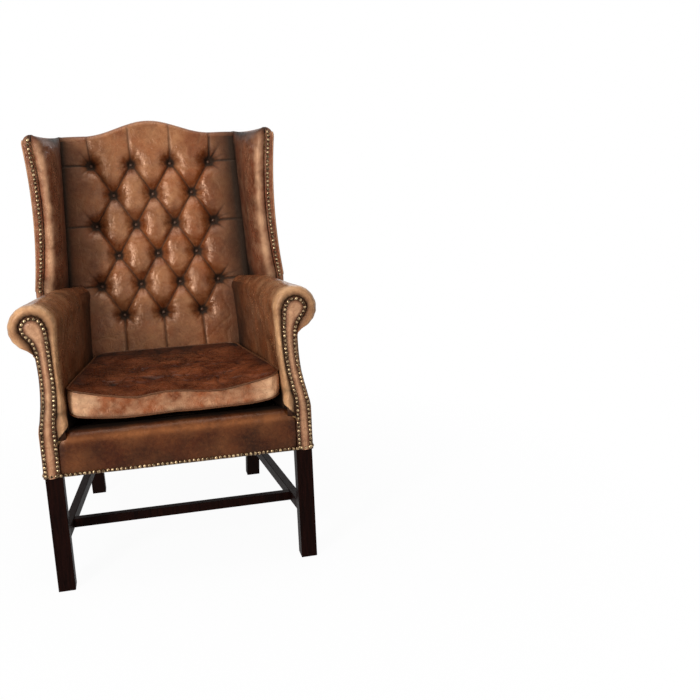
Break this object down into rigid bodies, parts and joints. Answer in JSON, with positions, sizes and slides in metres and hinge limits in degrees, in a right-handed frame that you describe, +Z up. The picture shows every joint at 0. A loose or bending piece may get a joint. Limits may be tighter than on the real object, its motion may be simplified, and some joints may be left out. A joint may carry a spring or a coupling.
{
  "type": "wing armchair",
  "caption": "High-backed leather wing armchair with a deep buttoned back, scrolled arms, a loose seat cushion and square wooden legs joined by stretchers.",
  "frame": {"origin": "on the floor, at the middle of the chair's bounding box", "axes": "+Z up, -Y the way a sitter faces, +X to the right of someone looking at the chair's front"},
  "size_m": [0.7398, 0.7646, 1.1568],
  "materials": {
    "dark_mahogany": "polished, near black red brown",
    "frame_beech": "sawn, unfinished",
    "brown_leather": "aged, glossy, worn paler on the edges",
    "back_leather": "aged, glossy, dark in the pleats",
    "cushion_leather": "aged, glossy, creased",
    "deck_cloth": "dark brown lining cloth",
    "jute": "woven jute",
    "hair_and_felt": "matted hair and felt",
    "black_cloth": "matt black lining",
    "twine": "waxed flax",
    "spring_steel": "oiled wire"
  },
  "bodies": {
    "chair": {"arm_facing_left": "brown_leather", "arm_facing_right": "brown_leather", "arm_pad_left": "brown_leather", "arm_pad_right": "brown_leather", "arm_rail_left": "frame_beech", "arm_rail_right": "frame_beech", "arm_stump_left": "frame_beech", "arm_stump_right": "frame_beech", "back_buttons": "back_leather", "back_webbing": "jute", "bottom_cloth": "black_cloth", "button_twines": "twine", "corner_blocks": "frame_beech", "crest_rail": "frame_beech", "cross_stretcher": "dark_mahogany", "deck_cover": "deck_cloth", "front_border": "brown_leather", "front_leg_left": "dark_mahogany", "front_leg_right": "dark_mahogany", "front_seat_rail": "frame_beech", "lower_back_rail": "frame_beech", "outside_arm_left": "brown_leather", "outside_arm_right": "brown_leather", "outside_back": "brown_leather", "rear_leg_left": "dark_mahogany", "rear_leg_right": "dark_mahogany", "rear_seat_rail": "frame_beech", "seat_hessian": "jute", "seat_springs": "spring_steel", "seat_stuffing": "hair_and_felt", "seat_webbing": "jute", "side_seat_rail_left": "frame_beech", "side_seat_rail_right": "frame_beech", "side_stretcher_left": "dark_mahogany", "side_stretcher_right": "dark_mahogany", "tufted_back": "back_leather", "wing_outside_left": "brown_leather", "wing_outside_right": "brown_leather", "wing_pad_left": "brown_leather", "wing_pad_right": "brown_leather", "wing_top_rail_left": "frame_beech", "wing_top_rail_right": "frame_beech", "wing_upright_left": "frame_beech", "wing_upright_right": "frame_beech"},
    "cushion": {"seat_cushion": "cushion_leather"}
  },
  "joints": [
    {"name": "cushion_lift", "type": "slide", "parent": "chair", "child": "cushion", "axis": [0, -0.7071, 0.7071], "range_m": [0, 0.78]}
  ]
}
